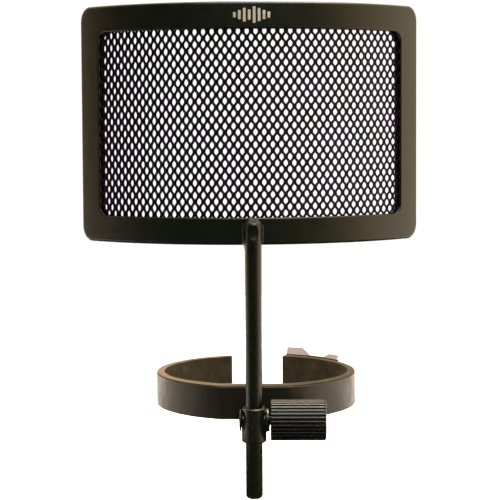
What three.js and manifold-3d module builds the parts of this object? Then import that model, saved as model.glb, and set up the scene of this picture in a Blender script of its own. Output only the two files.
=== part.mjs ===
// A small metal pop filter that clips on the body of a side-address microphone.
//
// A curved screen of expanded metal in a pressed-steel frame stands on a round rod. The rod turns
// and slides in a short sleeve, where a thumbscrew from the right clamps it. A boss behind the sleeve
// is screwed to the flattened front of an open spring-steel collar, which grips the microphone.
//
// Frame: millimetres, +Z up, -Y towards the person speaking, +X to the right. The origin is the
// centre of the collar, halfway up its band.

import * as THREE from 'three';
import { mergeVertices } from 'three/addons/utils/BufferGeometryUtils.js';
import Module from 'manifold-3d';

const wasm = await Module();
wasm.setup();

// ---- Driving dimensions ----------------------------------------------------------------------

const TOUCH_GAP = 0.2; // left between pieces that touch
const RUNNING_GAP = 0.08; // radial, between pieces that turn or slide in each other
const SEAT_GAP = 0.1; // between the rod, the pad and the pieces that close on them

// Collar
const BAND_OUTER_RADIUS = 28.35;
const BAND_THICKNESS = 1.0;
const BAND_HEIGHT = 8.86;
const BAND_FLAT_Y = -26.85; // outer face of the flattened front
const COLLAR_GAP_HALF_ANGLE = 16.7; // degrees, open at the back
const LINER_THICKNESS = 1.1;
const LINER_PROUD = 0.35; // how far the liner stands above the band
const COLLAR_STEP = 5; // degrees of arc per facet
const SHEET_EDGE_ROUND = 0.18;

// Rod and sleeve
const ROD_AXIS_Y = -32.6;
const ROD_RADIUS = 2.25;
const ROD_BOTTOM_Z = -24.4;
const ROD_TOP_Z = 49.1;
const ROD_END_ROUND = 1.3;
const ROD_TOP_ROUND = 0.5;
const SLEEVE_RADIUS = 3.3;
const SLEEVE_TOP_Z = -0.1;
const SLEEVE_BOTTOM_Z = -9.2;
const GUIDE_RING_HEIGHT = 1.0;
const GUIDE_RING_WALL = 0.42;
const SLEEVE_BORE_RADIUS = ROD_RADIUS + 0.2;
const BOSS_HALF_WIDTH = 2.9;
const BOSS_BOTTOM_Z = -6;
const CLAMP_CHAMFER = 0.25;

// Countersunk screw from inside the collar into the boss
const COLLAR_SCREW_RADIUS = 1;
const COLLAR_SCREW_HEAD_RADIUS = 1.7;
const COLLAR_SCREW_DEPTH = 2.3; // into the boss
const COLLAR_SCREW_Z = -2.05;
const COLLAR_SCREW_GAP = 0.12;
const COLLAR_SCREW_SUNK = 0.05; // head below the band's inner face

// Barrel, thumbscrew and knob, all on one axis along X
const BARREL_RADIUS = 2.25; // where it crosses the sleeve
const BARREL_AXIS_Z = -3.4;
const BARREL_LEFT_X = -3.33;
const BARREL_RIGHT_X = 4.15;
const FLANGE_RADIUS = 3.1; // of the barrel's right end, beside the knob
const FLANGE_LEFT_X = 3.1;
const SCREW_RADIUS = 1.5;
const SCREW_CLEARANCE = 0.12; // thread clearance in the tapped barrel
const PAD_LENGTH = 1.1;
const PAD_CHAMFER = 0.2;
const SCREW_TIP_CHAMFER = 0.3;
const PLUG_STEM_LENGTH = 0.8;
const PLUG_RADIUS = 3;
const PLUG_DOME_HEIGHT = 0.4;
const KNOB_LEFT_X = 4.4;
const KNOB_LENGTH = 14.7;
const KNOB_RADIUS = 5.42;
const KNOB_RIBS = 32;
const KNOB_GROOVE_DEPTH = 0.42;
const KNOB_GROOVE_SHARE = 0.55; // of each pitch
const KNOB_RIB_TURN = 4.1; // degrees about the screw
const KNOB_LEFT_CHAMFER = { length: 0.2, depth: 0.3 };
const KNOB_END_ROUND = 0.9;
const KNOB_FLOOR = 1.2; // behind the screw's head
const SCREW_HEAD_RADIUS = 2.8; // knurled head moulded into the knob
const SCREW_HEAD_LENGTH = 9;

// Screen
const SCREEN_RADIUS = 61.7; // of its front face, about an upright axis behind it
const SCREEN_ARC = 106.2; // along the front face
const SCREEN_HEIGHT = 64.3;
const SCREEN_BOTTOM_Z = 42.85;
const SCREEN_FRONT_Y = ROD_AXIS_Y + ROD_RADIUS + 0.15;
const SCREEN_SWIVEL = 2.9; // degrees about the rod's axis, as set
const BORDER_WIDTH = 7.2; // above and below the window
const SIDE_BORDER_WIDTH = 7.7;
const FRAME_CORNER_RADIUS = 3.8;
const WINDOW_CORNER_RADIUS = 2.75;
const SHEET = 0.7; // steel sheet of both frames
const FRONT_EDGE_ROUND = 0.8;
const FLANGE_BEND = 0.2; // inside the corner of the front frame
const FRAME_DEPTH = 2.5;
const MESH_THICKNESS = 0.6;
const MESH_MARGIN = 2.2; // how far inside the outline the mesh ends
const REAR_FRAME_MARGIN = 0.95;

// Braze beside the rod
const BRAZE_REACH = 2.85; // from the rod's axis, along the frame's face
const BRAZE_ROD_GAP = 0.12;
const BRAZE_ARC = { from: 62, to: 18 }; // degrees round the rod, in plan
const BRAZE_HOLLOW = { x: BRAZE_REACH - 0.45, depth: 0.6 };
const BRAZE_EDGE = 0.15; // thickness where it runs out on the frame
const BRAZE_TOP_Z = ROD_TOP_Z - 0.5;
const BRAZE_LEFT_BOTTOM_Z = SCREEN_BOTTOM_Z - 1.2;
const BRAZE_RIGHT_BOTTOM_Z = SCREEN_BOTTOM_Z + 0.1;

// Release tab on the collar's right rear end. Angles are in degrees from the rear.
const TAB_THICKNESS = 0.8;
const TAB_FOOT = { from: 17.6, to: 56 };
const TAB_FOOT_BOTTOM_Z = -3.2;
const TAB_FOOT_TOP_Z = 5.0;
const TAB_RISE = 18; // degrees above level
const TAB_EARS = [
  { root: { from: 17.8, to: 34.4 }, tip: { from: 15.8, to: 24.8 }, reach: 4.5 },
  { root: { from: 43.2, to: 54 }, tip: { from: 43.4, to: 51 }, reach: 2.4 },
];
const RIVET_ANGLES = [30, 47];
const RIVET_RADIUS = 0.7;
const RIVET_HEAD_RADIUS = 1.4;
const RIVET_HEAD_HEIGHT = 0.7;
const RIVET_HEAD_EDGE = 0.1; // upright edge below the dome
const RIVET_GAP = 0.15;

const ROUND_SEGMENTS = 32;
const SMALL_SEGMENTS = 20;
const CUT_PAST = 1; // how far a cutter runs past a face

const radians = THREE.MathUtils.degToRad;

// ---- Materials -------------------------------------------------------------------------------

function material(color, roughness, metalness) {
  return new THREE.MeshStandardMaterial({ color, roughness, metalness });
}

const blackPaint = () => material(0x15170f, 0.42, 0.2);
const blackMesh = () => material(0x0c0a12, 0.5, 0.3);
const blackPlastic = () => material(0x12160f, 0.38, 0);
const softLiner = () => material(0x3a342a, 0.8, 0);
const steel = () => material(0x8d8f90, 0.32, 1);
const brass = () => material(0xb08d4a, 0.35, 1);
const nylon = () => material(0x3f3b32, 0.5, 0);

// ---- Solids ----------------------------------------------------------------------------------

// Merged positions only, so that neighbouring triangles share their corners.
function welded(geometry) {
  const bare = geometry.clone();
  bare.deleteAttribute('normal');
  bare.deleteAttribute('uv');
  return mergeVertices(bare, 1e-4);
}

function toSolid(geometry) {
  const shared = welded(geometry);
  const mesh = new wasm.Mesh({
    numProp: 3,
    vertProperties: new Float32Array(shared.attributes.position.array),
    triVerts: new Uint32Array(shared.index.array),
  });
  mesh.merge();
  return new wasm.Manifold(mesh);
}

function fromSolid(solid) {
  const mesh = solid.getMesh();
  const geometry = new THREE.BufferGeometry();
  geometry.setAttribute('position', new THREE.BufferAttribute(mesh.vertProperties, 3));
  geometry.setIndex(new THREE.BufferAttribute(mesh.triVerts, 1));
  geometry.computeVertexNormals();
  return geometry;
}

function joined(...geometries) {
  return fromSolid(geometries.map(toSolid).reduce((sum, next) => sum.add(next)));
}

function cutBy(geometry, ...cutters) {
  return fromSolid(cutters.map(toSolid).reduce((left, cutter) => left.subtract(cutter), toSolid(geometry)));
}

function signedVolume(points, triangles) {
  let six = 0;
  for (const [a, b, c] of triangles) {
    six += points[a].dot(new THREE.Vector3().crossVectors(points[b], points[c]));
  }
  return six / 6;
}

// A geometry from corner points and triangles, turned so that its faces point out.
function closedGeometry(points, triangles) {
  const outward = signedVolume(points, triangles) > 0;
  const index = triangles.flatMap(([a, b, c]) => (outward ? [a, b, c] : [a, c, b]));
  const geometry = new THREE.BufferGeometry().setFromPoints(points);
  geometry.setIndex(index);
  geometry.computeVertexNormals();
  return geometry;
}

// Rings of points joined side by side. A looped stack closes on itself; an open one is capped.
function stackedRings(rings, looped) {
  const count = rings[0].length;
  const points = rings.flat();
  const triangles = [];
  const pairs = looped ? rings.length : rings.length - 1;
  for (let ring = 0; ring < pairs; ring += 1) {
    const here = ring * count;
    const next = ((ring + 1) % rings.length) * count;
    for (let i = 0; i < count; i += 1) {
      const j = (i + 1) % count;
      triangles.push([here + i, here + j, next + j]);
      triangles.push([here + i, next + j, next + i]);
    }
  }
  if (!looped) {
    const last = (rings.length - 1) * count;
    const centres = [rings[0], rings.at(-1)].map((ring) => {
      const sum = ring.reduce((total, point) => total.add(point), new THREE.Vector3());
      return sum.divideScalar(count);
    });
    const first = points.push(...centres) - 2;
    for (let i = 0; i < count; i += 1) {
      const j = (i + 1) % count;
      triangles.push([first, j, i]);
      triangles.push([first + 1, last + i, last + j]);
    }
  }
  return closedGeometry(points, triangles);
}

// Points of a circular arc, angles in degrees.
function arc(centreX, centreY, radius, from, to, steps) {
  return Array.from({ length: steps + 1 }, (_, i) => {
    const angle = radians(from + ((to - from) * i) / steps);
    return new THREE.Vector2(centreX + radius * Math.cos(angle), centreY + radius * Math.sin(angle));
  });
}

// A turned solid along +Z from [radius, height] points that start and end on the axis.
function turnedZ(profile, segments = ROUND_SEGMENTS) {
  const points = profile.map((point) => (point.isVector2 ? point : new THREE.Vector2(...point)));
  return new THREE.LatheGeometry(points, segments).rotateX(Math.PI / 2);
}

function turnedX(profile, segments = SMALL_SEGMENTS) {
  return turnedZ(profile, segments).rotateY(Math.PI / 2);
}

function cylinderProfile(radius, from, to, chamfer = 0) {
  return [
    [0, from],
    [radius - chamfer, from],
    ...(chamfer ? [[radius, from + chamfer], [radius, to - chamfer]] : []),
    [radius - chamfer, to],
    [0, to],
  ];
}

function extrudedZ(outline, bottom, top, round = 0) {
  const geometry = new THREE.ExtrudeGeometry(new THREE.Shape(outline), {
    depth: top - bottom - 2 * round,
    steps: 1,
    bevelEnabled: round > 0,
    bevelThickness: round,
    bevelSize: round,
    bevelOffset: -round,
    bevelSegments: 2,
  });
  return geometry.translate(0, 0, bottom + round);
}

function part(name, geometry, finish, x = 0, y = 0, z = 0) {
  const mesh = new THREE.Mesh(geometry, finish);
  mesh.name = name;
  mesh.position.set(x, y, z);
  return mesh;
}

// ---- Screen ----------------------------------------------------------------------------------

const SIDE_STEPS = 1;
const WIDE_STEPS = 24;
const CORNER_STEPS = 5;

// A rounded rectangle as a closed loop of points, with the long sides divided for bending.
function roundedLoop(width, height, radius) {
  const right = width / 2 - radius;
  const top = height / 2 - radius;
  const corners = [[right, top, 0], [-right, top, 90], [-right, -top, 180], [right, -top, 270]];
  const loop = [];
  corners.forEach(([x, y, start], k) => {
    const curve = arc(x, y, radius, start, start + 90, CORNER_STEPS);
    const [nextX, nextY, nextStart] = corners[(k + 1) % 4];
    const target = arc(nextX, nextY, radius, nextStart, nextStart + 90, 1)[0];
    const steps = k % 2 === 0 ? WIDE_STEPS : SIDE_STEPS;
    loop.push(...curve);
    for (let i = 1; i < steps; i += 1) {
      loop.push(curve.at(-1).clone().lerp(target, i / steps));
    }
  });
  return loop;
}

// Bends a flat shape (x along the arc, y = minus the height above the front face) round the screen.
function bendPoint(point) {
  const angle = point.x / SCREEN_RADIUS;
  const radius = SCREEN_RADIUS - point.y;
  return new THREE.Vector3(
    radius * Math.sin(angle),
    SCREEN_FRONT_Y + SCREEN_RADIUS - radius * Math.cos(angle),
    point.z,
  );
}

// A frame whose section is drawn as (distance in from the outline, height above the front face).
function bentFrame(section) {
  const outer = roundedLoop(SCREEN_ARC, SCREEN_HEIGHT, FRAME_CORNER_RADIUS);
  const inner = roundedLoop(
    SCREEN_ARC - 2 * SIDE_BORDER_WIDTH,
    SCREEN_HEIGHT - 2 * BORDER_WIDTH,
    WINDOW_CORNER_RADIUS,
  );
  const middleZ = SCREEN_BOTTOM_Z + SCREEN_HEIGHT / 2;
  const rings = outer.map((point, i) =>
    section.map((corner) => {
      const flat = point.clone().lerp(inner[i], corner.x / BORDER_WIDTH);
      return bendPoint(new THREE.Vector3(flat.x, -corner.y, middleZ + flat.y));
    }),
  );
  return stackedRings(rings, true);
}

function frontBezel() {
  const lip = SHEET / 2;
  const flangeInner = SHEET;
  return bentFrame([
    new THREE.Vector2(0, -FRAME_DEPTH),
    ...arc(FRONT_EDGE_ROUND, -FRONT_EDGE_ROUND, FRONT_EDGE_ROUND, 180, 90, 4),
    ...arc(BORDER_WIDTH - lip, -lip, lip, 90, -90, 4),
    new THREE.Vector2(flangeInner + FLANGE_BEND, -SHEET),
    new THREE.Vector2(flangeInner, -SHEET - FLANGE_BEND),
    new THREE.Vector2(flangeInner, -FRAME_DEPTH),
  ]);
}

function rearBezel() {
  const half = SHEET / 2;
  const middle = half - FRAME_DEPTH;
  return bentFrame([
    new THREE.Vector2(REAR_FRAME_MARGIN, middle - half),
    new THREE.Vector2(REAR_FRAME_MARGIN, middle + half),
    ...arc(BORDER_WIDTH - half, middle, half, 90, -90, 4),
  ]);
}

function meshPanel() {
  const front = (FRAME_DEPTH - MESH_THICKNESS) / 2;
  const sheet = new THREE.BoxGeometry(
    SCREEN_ARC - 2 * MESH_MARGIN,
    MESH_THICKNESS,
    SCREEN_HEIGHT - 2 * MESH_MARGIN,
    WIDE_STEPS,
    1,
    1,
  );
  sheet.translate(0, front + MESH_THICKNESS / 2, SCREEN_BOTTOM_Z + SCREEN_HEIGHT / 2);
  const flat = welded(sheet);
  const position = flat.attributes.position;
  for (let i = 0; i < position.count; i += 1) {
    const bent = bendPoint(new THREE.Vector3().fromBufferAttribute(position, i));
    position.setXYZ(i, bent.x, bent.y, bent.z);
  }
  flat.computeVertexNormals();
  return flat;
}

function supportRod() {
  const round = ROD_END_ROUND;
  const shoulder = ROD_RADIUS - round;
  const topRound = ROD_TOP_ROUND;
  return turnedZ([
    [0, ROD_BOTTOM_Z],
    ...arc(shoulder, ROD_BOTTOM_Z + round, round, -90, 0, 4),
    ...arc(ROD_RADIUS - topRound, ROD_TOP_Z - topRound, topRound, 0, 90, 2),
    [0, ROD_TOP_Z],
  ]);
}

// One run of braze, drawn in plan about the rod's axis, on the side given by the sign.
function weldFillet(side, bottom) {
  const faceY = SCREEN_FRONT_Y - ROD_AXIS_Y - TOUCH_GAP;
  const rodSide = arc(0, 0, ROD_RADIUS + BRAZE_ROD_GAP, BRAZE_ARC.from, BRAZE_ARC.to, 4);
  const hollow = new THREE.QuadraticBezierCurve(
    rodSide.at(-1),
    new THREE.Vector2(BRAZE_HOLLOW.x, faceY - BRAZE_HOLLOW.depth),
    new THREE.Vector2(BRAZE_REACH, faceY - BRAZE_EDGE),
  ).getPoints(4);
  const outline = [...rodSide, ...hollow.slice(1), new THREE.Vector2(BRAZE_REACH, faceY)];
  outline.forEach((point) => {
    point.x *= side;
  });
  return extrudedZ(outline, bottom, BRAZE_TOP_Z);
}

function screen() {
  const group = new THREE.Group();
  group.position.y = ROD_AXIS_Y;
  group.rotation.z = radians(SCREEN_SWIVEL);
  group.add(
    part('front_bezel', frontBezel(), blackPaint(), 0, -ROD_AXIS_Y),
    part('rear_bezel', rearBezel(), blackPaint(), 0, -ROD_AXIS_Y),
    part('mesh_panel', meshPanel(), blackMesh(), 0, -ROD_AXIS_Y),
    part('support_rod', supportRod(), blackPaint()),
    part('weld_fillet_left', weldFillet(-1, BRAZE_LEFT_BOTTOM_Z), blackPaint()),
    part('weld_fillet_right', weldFillet(1, BRAZE_RIGHT_BOTTOM_Z), blackPaint()),
  );
  return group;
}

// ---- Collar ----------------------------------------------------------------------------------

// Plan outline of a strip of the collar: an open ring with a flat front.
function collarOutline(outerRadius, thickness, outerFlatY) {
  const edge = (radius, flatY) => {
    const flatHalf = THREE.MathUtils.radToDeg(Math.acos(flatY / radius));
    const sweep = 180 - COLLAR_GAP_HALF_ANGLE - flatHalf;
    const steps = Math.round(sweep / COLLAR_STEP);
    const rightSide = arc(0, 0, radius, -90 + flatHalf, -90 + flatHalf + sweep, steps);
    const leftSide = rightSide.map((point) => new THREE.Vector2(-point.x, point.y));
    return [...leftSide.reverse(), ...rightSide];
  };
  const outer = edge(outerRadius, -outerFlatY);
  const inner = edge(outerRadius - thickness, -outerFlatY - thickness);
  return [...outer, ...inner.reverse()];
}

// Places a piece made along +X, its base at x = 0, on the collar at an angle from the rear.
function atRearAngle(geometry, angle, radius) {
  return geometry.translate(radius, 0, 0).rotateZ(radians(90 - angle));
}

function collarBand() {
  const outline = collarOutline(BAND_OUTER_RADIUS, BAND_THICKNESS, BAND_FLAT_Y);
  const strip = extrudedZ(outline, -BAND_HEIGHT / 2, BAND_HEIGHT / 2, SHEET_EDGE_ROUND);
  return cutBy(strip, collarScrewShape(COLLAR_SCREW_GAP), ...RIVET_ANGLES.map((angle) => rivetHole(angle)));
}

function collarLiner() {
  const outline = collarOutline(
    BAND_OUTER_RADIUS - BAND_THICKNESS - TOUCH_GAP,
    LINER_THICKNESS,
    BAND_FLAT_Y + BAND_THICKNESS + TOUCH_GAP,
  );
  return extrudedZ(outline, -BAND_HEIGHT / 2, BAND_HEIGHT / 2 + LINER_PROUD, SHEET_EDGE_ROUND);
}

// The screw, or with a gap the countersunk hole for it. Its head lies flush in the band.
function collarScrewShape(gap) {
  const headTop = BAND_THICKNESS + (gap ? CUT_PAST : -COLLAR_SCREW_SUNK);
  const coneDepth = COLLAR_SCREW_HEAD_RADIUS - COLLAR_SCREW_RADIUS;
  const screw = turnedX([
    [0, -COLLAR_SCREW_DEPTH - TOUCH_GAP - gap],
    [COLLAR_SCREW_RADIUS + gap, -COLLAR_SCREW_DEPTH - TOUCH_GAP - gap],
    [COLLAR_SCREW_RADIUS + gap, BAND_THICKNESS - coneDepth - gap],
    [COLLAR_SCREW_HEAD_RADIUS + gap, BAND_THICKNESS - gap],
    [COLLAR_SCREW_HEAD_RADIUS + gap, headTop],
    [0, headTop],
  ]);
  return screw.rotateZ(Math.PI / 2).translate(0, BAND_FLAT_Y, COLLAR_SCREW_Z);
}

function rivetHole(angle) {
  const inner = -BAND_THICKNESS - CUT_PAST;
  const outer = TOUCH_GAP + TAB_THICKNESS + CUT_PAST;
  const bore = turnedX(cylinderProfile(RIVET_RADIUS + RIVET_GAP, inner, outer));
  return atRearAngle(bore, angle, BAND_OUTER_RADIUS);
}

function tabRivet(angle) {
  const headBase = TOUCH_GAP + TAB_THICKNESS + TOUCH_GAP;
  const domeHeight = RIVET_HEAD_HEIGHT - RIVET_HEAD_EDGE;
  const dome = arc(0, 0, 1, 0, 90, 4).map((point) => [
    point.x * RIVET_HEAD_RADIUS,
    headBase + RIVET_HEAD_EDGE + point.y * domeHeight,
  ]);
  const rivet = turnedX([
    [0, -BAND_THICKNESS],
    [RIVET_RADIUS, -BAND_THICKNESS],
    [RIVET_RADIUS, headBase],
    [RIVET_HEAD_RADIUS, headBase],
    ...dome,
  ]);
  return atRearAngle(rivet, angle, BAND_OUTER_RADIUS);
}

// Plan outline between an inner and an outer arc of the collar's circle.
function sectorOutline(innerRadius, inner, outerRadius, outer) {
  return [
    ...arc(0, 0, innerRadius, 90 - inner.to, 90 - inner.from, 8),
    ...arc(0, 0, outerRadius, 90 - outer.from, 90 - outer.to, 8),
  ];
}

// A foot that follows the band, with a long and a short ear turned out of its upper edge.
function releaseTab() {
  const footRadius = BAND_OUTER_RADIUS + TOUCH_GAP;
  const bendRadius = footRadius + TAB_THICKNESS / 2;
  const footOutline = sectorOutline(footRadius, TAB_FOOT, footRadius + TAB_THICKNESS, TAB_FOOT);
  const foot = extrudedZ(footOutline, TAB_FOOT_BOTTOM_Z, TAB_FOOT_TOP_Z);
  const ears = TAB_EARS.map(({ root, tip, reach }) => {
    const outline = sectorOutline(bendRadius, root, bendRadius + reach, tip);
    const ear = extrudedZ(outline, TAB_FOOT_TOP_Z - TAB_THICKNESS, TAB_FOOT_TOP_Z, SHEET_EDGE_ROUND);
    const position = ear.attributes.position;
    for (let i = 0; i < position.count; i += 1) {
      const beyondBend = Math.hypot(position.getX(i), position.getY(i)) - bendRadius;
      position.setZ(i, position.getZ(i) + beyondBend * Math.tan(radians(TAB_RISE)));
    }
    return ear;
  });
  return cutBy(joined(foot, ...ears), ...RIVET_ANGLES.map((angle) => rivetHole(angle)));
}

// ---- Clamp -----------------------------------------------------------------------------------

function clampBody() {
  const edge = CLAMP_CHAMFER;
  const sleeve = turnedZ(cylinderProfile(SLEEVE_RADIUS, SLEEVE_BOTTOM_Z, SLEEVE_TOP_Z, edge));
  const barrel = turnedX([
    [0, BARREL_LEFT_X],
    [BARREL_RADIUS - edge, BARREL_LEFT_X],
    [BARREL_RADIUS, BARREL_LEFT_X + edge],
    [BARREL_RADIUS, FLANGE_LEFT_X],
    [FLANGE_RADIUS - edge, FLANGE_LEFT_X],
    [FLANGE_RADIUS, FLANGE_LEFT_X + edge],
    [FLANGE_RADIUS, BARREL_RIGHT_X - edge],
    [FLANGE_RADIUS - edge, BARREL_RIGHT_X],
    [0, BARREL_RIGHT_X],
  ], ROUND_SEGMENTS);
  barrel.translate(0, 0, BARREL_AXIS_Z);
  const bossBack = BAND_FLAT_Y - TOUCH_GAP - ROD_AXIS_Y;
  const bossTop = SLEEVE_TOP_Z - edge;
  const boss = new THREE.BoxGeometry(2 * BOSS_HALF_WIDTH, bossBack, bossTop - BOSS_BOTTOM_Z);
  boss.translate(0, bossBack / 2, (bossTop + BOSS_BOTTOM_Z) / 2);

  const ringSeatRadius = ROD_RADIUS + RUNNING_GAP + GUIDE_RING_WALL + RUNNING_GAP;
  const ringSeat = GUIDE_RING_HEIGHT + TOUCH_GAP;
  const above = SLEEVE_TOP_Z + CUT_PAST;
  const below = SLEEVE_BOTTOM_Z - CUT_PAST;
  const bore = turnedZ(cylinderProfile(SLEEVE_BORE_RADIUS, below, above));
  const upperSeat = turnedZ(cylinderProfile(ringSeatRadius, SLEEVE_TOP_Z - ringSeat, above));
  const lowerSeat = turnedZ(cylinderProfile(ringSeatRadius, below, SLEEVE_BOTTOM_Z + ringSeat));
  const tappedRadius = SCREW_RADIUS + SCREW_CLEARANCE;
  const tapped = turnedX(
    cylinderProfile(tappedRadius, BARREL_LEFT_X - CUT_PAST, BARREL_RIGHT_X + CUT_PAST),
  );
  tapped.translate(0, 0, BARREL_AXIS_Z);
  const screwHole = collarScrewShape(COLLAR_SCREW_GAP).translate(0, -ROD_AXIS_Y, 0);
  return cutBy(joined(sleeve, barrel, boss), bore, upperSeat, lowerSeat, tapped, screwHole);
}

// A domed plug that closes the left end of the barrel's through hole.
function barrelPlug() {
  const stem = SCREW_RADIUS - SEAT_GAP;
  const dome = arc(0, 0, 1, 0, 90, 5).map((point) => [
    point.x * PLUG_RADIUS,
    TOUCH_GAP + SEAT_GAP + point.y * PLUG_DOME_HEIGHT,
  ]);
  return turnedX([
    [0, -PLUG_STEM_LENGTH],
    [stem, -PLUG_STEM_LENGTH],
    [stem, TOUCH_GAP],
    [PLUG_RADIUS, TOUCH_GAP],
    ...dome,
  ], ROUND_SEGMENTS).rotateZ(Math.PI);
}

// A ring round the rod's axis, resting on z = 0.
function guideRing() {
  const inner = ROD_RADIUS + RUNNING_GAP;
  const outer = inner + GUIDE_RING_WALL;
  const top = GUIDE_RING_HEIGHT;
  return turnedZ([[inner, 0], [outer, 0], [outer, top], [inner, top], [inner, 0]]);
}

function pressurePad() {
  const start = ROD_RADIUS + SEAT_GAP;
  return turnedX(cylinderProfile(SCREW_RADIUS - SEAT_GAP, start, start + PAD_LENGTH, PAD_CHAMFER));
}

function thumbscrew() {
  const tip = ROD_RADIUS + SEAT_GAP + PAD_LENGTH + TOUCH_GAP;
  const head = KNOB_LEFT_X + KNOB_FLOOR;
  const shank = SCREW_RADIUS;
  return turnedX([
    [0, tip],
    [shank - SCREW_TIP_CHAMFER, tip],
    [shank, tip + SCREW_TIP_CHAMFER],
    [shank, head],
    [SCREW_HEAD_RADIUS, head],
    [SCREW_HEAD_RADIUS, head + SCREW_HEAD_LENGTH],
    [0, head + SCREW_HEAD_LENGTH],
  ]);
}

// The moulded knob, drawn from x = 0 (its left face): ribs all round, rounded at the outer end.
function knob() {
  const groove = KNOB_GROOVE_SHARE;
  const ribShape = [[0, 0], [1 - groove, 0], [1 - groove * 0.7, 1], [1 - groove * 0.3, 1]];
  const outline = [];
  for (let rib = 0; rib < KNOB_RIBS; rib += 1) {
    for (const [share, depth] of ribShape) {
      outline.push([(2 * Math.PI * (rib + share)) / KNOB_RIBS, depth * KNOB_GROOVE_DEPTH]);
    }
  }
  const ring = (x, inset, grooved) =>
    outline.map(([angle, depth]) => {
      const radius = KNOB_RADIUS - inset - (grooved ? depth : 0);
      const turned = angle + radians(KNOB_RIB_TURN);
      return new THREE.Vector3(x, radius * Math.cos(turned), radius * Math.sin(turned));
    });
  const outer = KNOB_LENGTH;
  const round = KNOB_END_ROUND;
  const body = stackedRings([
    ring(0, KNOB_LEFT_CHAMFER.depth, true),
    ring(KNOB_LEFT_CHAMFER.length, 0, true),
    ring(outer - round, 0, true),
    ring(outer - round * 0.3, round * 0.3, true),
    ring(outer, round, false),
  ], false);
  const throat = SCREW_RADIUS + TOUCH_GAP;
  const chamber = SCREW_HEAD_RADIUS + TOUCH_GAP;
  const chamberStart = KNOB_FLOOR - TOUCH_GAP;
  const chamberEnd = KNOB_FLOOR + SCREW_HEAD_LENGTH + TOUCH_GAP;
  const socket = turnedX([
    [0, -CUT_PAST],
    [throat, -CUT_PAST],
    [throat, chamberStart],
    [chamber, chamberStart],
    [chamber, chamberEnd],
    [0, chamberEnd],
  ]);
  return cutBy(body, socket);
}

// ---- Assembly --------------------------------------------------------------------------------

const popFilter = new THREE.Group();

popFilter.add(
  part('collar_band', collarBand(), blackPaint()),
  part('collar_liner', collarLiner(), softLiner()),
  part('collar_screw', collarScrewShape(0), steel()),
  part('release_tab', releaseTab(), steel()),
  part('tab_rivet_inner', tabRivet(RIVET_ANGLES[0]), steel()),
  part('tab_rivet_outer', tabRivet(RIVET_ANGLES[1]), steel()),
  part('clamp_body', clampBody(), blackPaint(), 0, ROD_AXIS_Y),
  part('barrel_plug', barrelPlug(), blackPaint(), BARREL_LEFT_X, ROD_AXIS_Y, BARREL_AXIS_Z),
  part('guide_ring_upper', guideRing(), nylon(), 0, ROD_AXIS_Y, SLEEVE_TOP_Z - GUIDE_RING_HEIGHT),
  part('guide_ring_lower', guideRing(), nylon(), 0, ROD_AXIS_Y, SLEEVE_BOTTOM_Z),
  part('pressure_pad', pressurePad(), brass(), 0, ROD_AXIS_Y, BARREL_AXIS_Z),
  part('thumbscrew', thumbscrew(), steel(), 0, ROD_AXIS_Y, BARREL_AXIS_Z),
  part('knob', knob(), blackPlastic(), KNOB_LEFT_X, ROD_AXIS_Y, BARREL_AXIS_Z),
  screen(),
);

export default popFilter;
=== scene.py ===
"""The looks of a small clip-on pop filter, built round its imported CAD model.

Shapes are drawn in millimetres in the CAD frame (+Z up, -Y towards the speaker, +X to the knob) and
made in metres.
"""

import math
import random

import bmesh
import bpy
import numpy as np
from mathutils import Matrix, Vector


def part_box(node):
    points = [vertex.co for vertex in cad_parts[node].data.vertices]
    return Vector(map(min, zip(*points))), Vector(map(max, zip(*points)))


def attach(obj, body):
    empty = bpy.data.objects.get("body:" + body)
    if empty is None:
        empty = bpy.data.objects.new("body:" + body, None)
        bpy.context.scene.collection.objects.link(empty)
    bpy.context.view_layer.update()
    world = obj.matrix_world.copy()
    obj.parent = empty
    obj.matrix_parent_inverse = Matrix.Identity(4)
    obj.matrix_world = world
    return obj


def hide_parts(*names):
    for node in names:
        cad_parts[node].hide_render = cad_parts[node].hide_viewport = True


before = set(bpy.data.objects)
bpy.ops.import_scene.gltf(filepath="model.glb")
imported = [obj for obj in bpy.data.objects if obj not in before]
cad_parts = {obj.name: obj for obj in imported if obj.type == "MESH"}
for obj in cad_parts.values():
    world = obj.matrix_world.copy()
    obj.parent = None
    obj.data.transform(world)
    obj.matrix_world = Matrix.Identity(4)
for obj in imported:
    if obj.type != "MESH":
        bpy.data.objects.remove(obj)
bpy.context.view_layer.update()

rng = random.Random(41)
MM = 0.001


def box_mm(node):
    """Lowest and highest corner of a CAD node, in millimetres."""
    low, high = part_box(node)
    return np.array(low) / MM, np.array(high) / MM


# ---- Dimensions, in millimetres -----------------------------------------------------------------

# Screen
SCREEN_RADIUS = 61.7
SCREEN_ARC = 106.2
SCREEN_SWIVEL = math.radians(2.9)
BORDER_WIDTH = 7.2
SIDE_BORDER_WIDTH = 7.7
FRAME_CORNER_RADIUS = 3.8
WINDOW_CORNER_RADIUS = 2.75
SHEET = 0.7
FRAME_DEPTH = 2.5
FRONT_EDGE_ROUND = 0.8
CUT_EDGE_ROUND = 0.15
REAR_FRAME_MARGIN = 0.95

# Spot welds of the rear frame: a shallow dent each, with a steepened edge
WELDS_ACROSS, WELDS_UP = 6, 3
WELD_FROM_CORNER = 9.0
WELD_WANDER = 0.6
WELD_DEPTH = 0.14
WELD_RADIUS = 1.15
WELD_EDGE_RADIUS, WELD_EDGE_WIDTH, WELD_EDGE_SHARE = 1.6, 0.4, 0.25

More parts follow.
